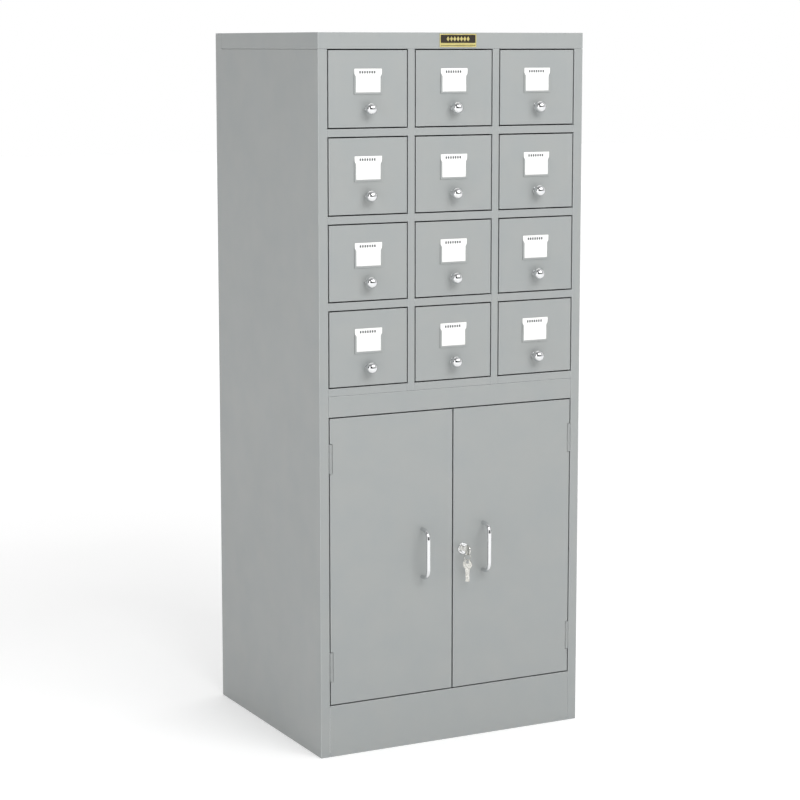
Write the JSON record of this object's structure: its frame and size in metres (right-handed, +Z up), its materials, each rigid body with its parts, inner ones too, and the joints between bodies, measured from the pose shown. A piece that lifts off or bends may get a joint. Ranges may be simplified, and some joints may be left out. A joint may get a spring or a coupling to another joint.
{
  "type": "card catalog cabinet",
  "caption": "Tall steel cabinet with a grid of card drawers, each with a label holder and a ball-knobbed rod, above a cupboard with two lockable doors.",
  "frame": {"origin": "on the floor, at the centre of the footprint, which runs from the front of the door handles to the back edge of the body", "axes": "+Z up, -Y out of the front, +X to the right as seen from the front"},
  "size_m": [0.508, 0.459, 1.228],
  "materials": {
    "grey_enamel": "light grey baked enamel, semi-gloss",
    "chrome": "bright chrome plate",
    "zinc_steel": "zinc-plated steel, satin",
    "nickel": "nickel-plated key stock",
    "brass_plate": "pale gold plate with a dark enamel field"
  },
  "bodies": {
    "cabinet": {"side_panel_left": "grey_enamel", "side_panel_right": "grey_enamel", "back_panel": "grey_enamel", "top_cap": "grey_enamel", "nameplate": "brass_plate", "column_dividers": "grey_enamel", "front_rails": "grey_enamel", "drawer_runners": "zinc_steel", "mid_deck": "grey_enamel", "fascia_rail": "grey_enamel", "kick_plate": "grey_enamel", "cupboard_floor": "grey_enamel", "cupboard_shelf": "grey_enamel", "shelf_clips": "zinc_steel", "door_stops": "grey_enamel", "hinge_frame_leaves": "grey_enamel", "hinge_pins": "zinc_steel"},
    "left_door": {"door_left": "grey_enamel", "hinge_leaves_left": "grey_enamel", "handle_left": "chrome", "handle_screws_left": "zinc_steel", "bolt_guides": "zinc_steel"},
    "left_bolt": {"door_bolt": "zinc_steel"},
    "right_door": {"door_right": "grey_enamel", "hinge_leaves_right": "grey_enamel", "handle_right": "chrome", "handle_screws_right": "zinc_steel", "lock_body": "chrome", "lock_nut": "zinc_steel"},
    "lock": {"lock_plug": "chrome", "lock_cam": "zinc_steel", "cam_screw": "zinc_steel"},
    "key_in_lock": {"key": "nickel"},
    "ring": {"key_ring": "nickel"},
    "hanging_key": {"spare_key": "nickel"},
    "drawer_unit_r1c1": {"drawer_r1c1": "grey_enamel"},
    "drawer_unit_r1c2": {"drawer_r1c2": "grey_enamel"},
    "drawer_unit_r1c3": {"drawer_r1c3": "grey_enamel"},
    "drawer_unit_r2c1": {"drawer_r2c1": "grey_enamel"},
    "drawer_unit_r2c2": {"drawer_r2c2": "grey_enamel"},
    "drawer_unit_r2c3": {"drawer_r2c3": "grey_enamel"},
    "drawer_unit_r3c1": {"drawer_r3c1": "grey_enamel"},
    "drawer_unit_r3c2": {"drawer_r3c2": "grey_enamel"},
    "drawer_unit_r3c3": {"drawer_r3c3": "grey_enamel"},
    "drawer_unit_r4c1": {"drawer_r4c1": "grey_enamel"},
    "drawer_unit_r4c2": {"drawer_r4c2": "grey_enamel"},
    "drawer_unit_r4c3": {"drawer_r4c3": "grey_enamel"},
    "rod_unit_r1c1": {"card_rod_r1c1": "chrome"},
    "rod_unit_r1c2": {"card_rod_r1c2": "chrome"},
    "rod_unit_r1c3": {"card_rod_r1c3": "chrome"},
    "rod_unit_r2c1": {"card_rod_r2c1": "chrome"},
    "rod_unit_r2c2": {"card_rod_r2c2": "chrome"},
    "rod_unit_r2c3": {"card_rod_r2c3": "chrome"},
    "rod_unit_r3c1": {"card_rod_r3c1": "chrome"},
    "rod_unit_r3c2": {"card_rod_r3c2": "chrome"},
    "rod_unit_r3c3": {"card_rod_r3c3": "chrome"},
    "rod_unit_r4c1": {"card_rod_r4c1": "chrome"},
    "rod_unit_r4c2": {"card_rod_r4c2": "chrome"},
    "rod_unit_r4c3": {"card_rod_r4c3": "chrome"}
  },
  "joints": [
    {"name": "left_door_swing", "type": "hinge", "parent": "cabinet", "child": "left_door", "pos_m": [-0.2338, -0.201, 0.3392], "axis": [0, 0, -1], "range_deg": [0, 115]},
    {"name": "right_door_swing", "type": "hinge", "parent": "cabinet", "child": "right_door", "pos_m": [0.2338, -0.201, 0.3392], "axis": [0, 0, 1], "range_deg": [0, 115]},
    {"name": "drawer_slide_r1c1", "type": "slide", "parent": "cabinet", "child": "drawer_unit_r1c1", "axis": [0, -1, 0], "range_m": [0, 0.34]},
    {"name": "drawer_slide_r1c2", "type": "slide", "parent": "cabinet", "child": "drawer_unit_r1c2", "axis": [0, -1, 0], "range_m": [0, 0.34]},
    {"name": "drawer_slide_r1c3", "type": "slide", "parent": "cabinet", "child": "drawer_unit_r1c3", "axis": [0, -1, 0], "range_m": [0, 0.34]},
    {"name": "drawer_slide_r2c1", "type": "slide", "parent": "cabinet", "child": "drawer_unit_r2c1", "axis": [0, -1, 0], "range_m": [0, 0.34]},
    {"name": "drawer_slide_r2c2", "type": "slide", "parent": "cabinet", "child": "drawer_unit_r2c2", "axis": [0, -1, 0], "range_m": [0, 0.34]},
    {"name": "drawer_slide_r2c3", "type": "slide", "parent": "cabinet", "child": "drawer_unit_r2c3", "axis": [0, -1, 0], "range_m": [0, 0.34]},
    {"name": "drawer_slide_r3c1", "type": "slide", "parent": "cabinet", "child": "drawer_unit_r3c1", "axis": [0, -1, 0], "range_m": [0, 0.34]},
    {"name": "drawer_slide_r3c2", "type": "slide", "parent": "cabinet", "child": "drawer_unit_r3c2", "axis": [0, -1, 0], "range_m": [0, 0.34]},
    {"name": "drawer_slide_r3c3", "type": "slide", "parent": "cabinet", "child": "drawer_unit_r3c3", "axis": [0, -1, 0], "range_m": [0, 0.34]},
    {"name": "drawer_slide_r4c1", "type": "slide", "parent": "cabinet", "child": "drawer_unit_r4c1", "axis": [0, -1, 0], "range_m": [0, 0.34]},
    {"name": "drawer_slide_r4c2", "type": "slide", "parent": "cabinet", "child": "drawer_unit_r4c2", "axis": [0, -1, 0], "range_m": [0, 0.34]},
    {"name": "drawer_slide_r4c3", "type": "slide", "parent": "cabinet", "child": "drawer_unit_r4c3", "axis": [0, -1, 0], "range_m": [0, 0.34]},
    {"name": "lock_turn", "type": "hinge", "parent": "right_door", "child": "lock", "pos_m": [0.02, -0.2025, 0.3392], "axis": [0, 1, 0], "range_deg": [0, 90]},
    {"name": "key_slide", "type": "slide", "parent": "lock", "child": "key_in_lock", "axis": [0, -1, 0], "range_m": [0, 0.016]},
    {"name": "ring_swing", "type": "hinge", "parent": "key_in_lock", "child": "ring", "pos_m": [0.02, -0.22, 0.33265], "axis": [1, 0, 0], "range_deg": [-60, 10]},
    {"name": "hanging_key_swing", "type": "hinge", "parent": "ring", "child": "hanging_key", "pos_m": [0.02, -0.22, 0.32065], "axis": [1, 0, 0], "range_deg": [-45, 8]},
    {"name": "bolt_slide", "type": "slide", "parent": "left_door", "child": "left_bolt", "axis": [0, 0, 1], "range_m": [0, 0.014]},
    {"name": "rod_slide_r1c1", "type": "slide", "parent": "drawer_unit_r1c1", "child": "rod_unit_r1c1", "axis": [0, -1, 0], "range_m": [0, 0.36]},
    {"name": "rod_slide_r1c2", "type": "slide", "parent": "drawer_unit_r1c2", "child": "rod_unit_r1c2", "axis": [0, -1, 0], "range_m": [0, 0.36]},
    {"name": "rod_slide_r1c3", "type": "slide", "parent": "drawer_unit_r1c3", "child": "rod_unit_r1c3", "axis": [0, -1, 0], "range_m": [0, 0.36]},
    {"name": "rod_slide_r2c1", "type": "slide", "parent": "drawer_unit_r2c1", "child": "rod_unit_r2c1", "axis": [0, -1, 0], "range_m": [0, 0.36]},
    {"name": "rod_slide_r2c2", "type": "slide", "parent": "drawer_unit_r2c2", "child": "rod_unit_r2c2", "axis": [0, -1, 0], "range_m": [0, 0.36]},
    {"name": "rod_slide_r2c3", "type": "slide", "parent": "drawer_unit_r2c3", "child": "rod_unit_r2c3", "axis": [0, -1, 0], "range_m": [0, 0.36]},
    {"name": "rod_slide_r3c1", "type": "slide", "parent": "drawer_unit_r3c1", "child": "rod_unit_r3c1", "axis": [0, -1, 0], "range_m": [0, 0.36]},
    {"name": "rod_slide_r3c2", "type": "slide", "parent": "drawer_unit_r3c2", "child": "rod_unit_r3c2", "axis": [0, -1, 0], "range_m": [0, 0.36]},
    {"name": "rod_slide_r3c3", "type": "slide", "parent": "drawer_unit_r3c3", "child": "rod_unit_r3c3", "axis": [0, -1, 0], "range_m": [0, 0.36]},
    {"name": "rod_slide_r4c1", "type": "slide", "parent": "drawer_unit_r4c1", "child": "rod_unit_r4c1", "axis": [0, -1, 0], "range_m": [0, 0.36]},
    {"name": "rod_slide_r4c2", "type": "slide", "parent": "drawer_unit_r4c2", "child": "rod_unit_r4c2", "axis": [0, -1, 0], "range_m": [0, 0.36]},
    {"name": "rod_slide_r4c3", "type": "slide", "parent": "drawer_unit_r4c3", "child": "rod_unit_r4c3", "axis": [0, -1, 0], "range_m": [0, 0.36]}
  ]
}
